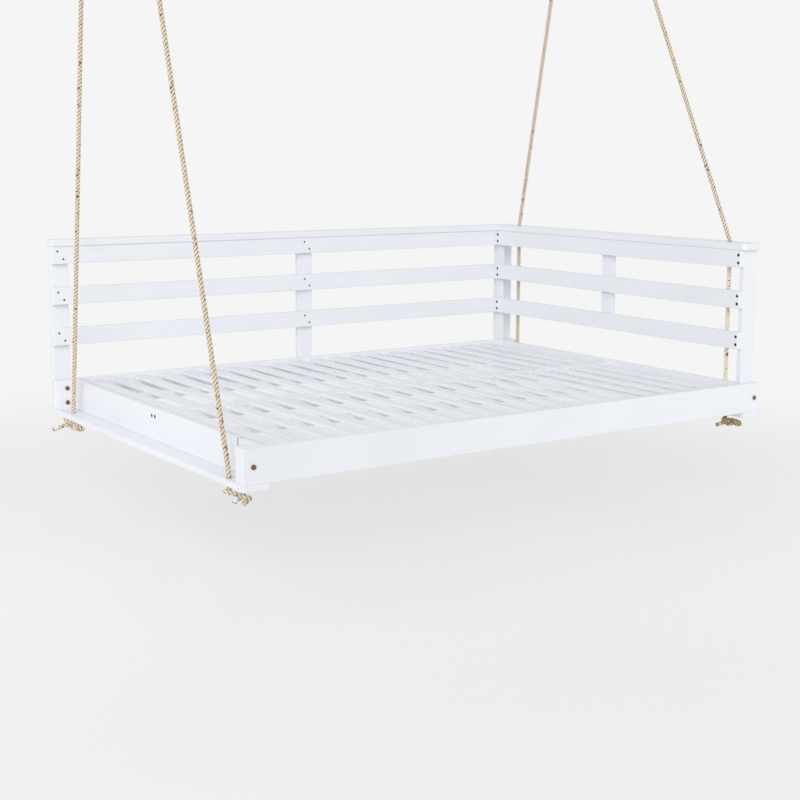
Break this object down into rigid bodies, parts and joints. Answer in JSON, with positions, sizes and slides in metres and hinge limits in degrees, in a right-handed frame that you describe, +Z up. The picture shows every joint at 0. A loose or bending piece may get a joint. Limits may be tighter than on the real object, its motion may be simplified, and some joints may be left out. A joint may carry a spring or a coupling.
{
  "type": "porch swing seat",
  "caption": "Hanging daybed swing with a slatted deck, a backrest along its long side and one arm, hung from ropes with knots under cross planks",
  "frame": {"origin": "the middle of the ceiling plane that the hanger plates bear on, above the seat's middle", "axes": "+X to the right along the seat, +Y to its back, +Z up"},
  "size_m": [2.1168, 1.418, 1.7376],
  "materials": {
    "white_paint": "satin white paint",
    "dowel_beech": "bare",
    "aged_brass": "antique, dull",
    "dark_steel": "dark plated",
    "zinc_steel": "zinc plated",
    "rope": "three-strand twisted",
    "twine": "tarred twine, wound tight",
    "black_iron": "powder coated"
  },
  "bodies": {
    "ceiling_fixings": {"rope_hangers": "black_iron", "ceiling_plates": "black_iron"},
    "front_left_swing_rope": {"front_left_rope": "rope", "front_left_thimble": "zinc_steel", "front_left_seizing": "twine"},
    "back_left_swing_rope": {"back_left_rope": "rope", "back_left_thimble": "zinc_steel", "back_left_seizing": "twine"},
    "front_right_swing_rope": {"front_right_rope": "rope", "front_right_thimble": "zinc_steel", "front_right_seizing": "twine"},
    "back_right_swing_rope": {"back_right_rope": "rope", "back_right_thimble": "zinc_steel", "back_right_seizing": "twine"},
    "seat": {"front_rail": "white_paint", "back_rail": "white_paint", "left_end_rail": "white_paint", "right_end_rail": "white_paint", "corner_blocks": "white_paint", "end_blocks": "white_paint", "front_beam": "white_paint", "back_beam": "white_paint", "slat_ledgers": "white_paint", "slat_battens": "white_paint", "front_slats": "white_paint", "back_slats": "white_paint", "left_hanger_plank": "white_paint", "right_hanger_plank": "white_paint", "back_post_left": "white_paint", "back_post_middle": "white_paint", "back_post_right": "white_paint", "back_board_low": "white_paint", "back_board_middle": "white_paint", "back_board_top": "white_paint", "back_cap": "white_paint", "arm_board_low": "white_paint", "arm_board_middle": "white_paint", "arm_board_top": "white_paint", "arm_cap": "white_paint", "arm_front_post": "white_paint", "arm_middle_upright": "white_paint", "arm_back_upright": "white_paint", "end_dowels": "dowel_beech", "frame_bolts": "aged_brass", "frame_nuts": "aged_brass", "backrest_screws": "dark_steel", "arm_screws": "dark_steel", "beam_screws": "dark_steel", "middle_upright_screws": "zinc_steel", "back_upright_screws": "zinc_steel", "plank_screws": "zinc_steel", "slat_pins": "zinc_steel", "cap_pins": "zinc_steel", "front_right_lower_rope": "rope", "back_right_lower_rope": "rope", "front_left_knot": "rope", "back_left_knot": "rope", "front_right_knot": "rope", "back_right_knot": "rope"}
  },
  "joints": [
    {"name": "swing", "type": "hinge", "parent": "ceiling_fixings", "child": "front_left_swing_rope", "pos_m": [-1.018, -0.23408, -0.054], "axis": [1, 0, 0], "range_deg": [-8, 8]},
    {"name": "seat_on_front_left_rope", "type": "hinge", "parent": "front_left_swing_rope", "child": "seat", "pos_m": [-0.996, -0.683, -1.665], "axis": [1, 0, 0], "range_deg": [-2.8, 2.8]},
    {"name": "back_left_rope_lean", "type": "hinge", "parent": "seat", "child": "back_left_swing_rope", "pos_m": [-0.987, 0.467, -1.665], "axis": [1, 0, 0], "range_deg": [-2.8, 2.8]},
    {"name": "front_right_rope_lean", "type": "hinge", "parent": "seat", "child": "front_right_swing_rope", "pos_m": [0.97, -0.68, -1.08], "axis": [1, 0, 0], "range_deg": [-4.4, 4.4]},
    {"name": "back_right_rope_lean", "type": "hinge", "parent": "seat", "child": "back_right_swing_rope", "pos_m": [0.97, 0.475, -1.08], "axis": [1, 0, 0], "range_deg": [-4.4, 4.4]}
  ],
  "couplings": [
    {"joint": "seat_on_front_left_rope", "follows": "swing", "ratio": -0.34131},
    {"joint": "back_left_rope_lean", "follows": "swing", "ratio": 0.33973},
    {"joint": "front_right_rope_lean", "follows": "swing", "ratio": 0.53572},
    {"joint": "back_right_rope_lean", "follows": "swing", "ratio": 0.53572}
  ]
}
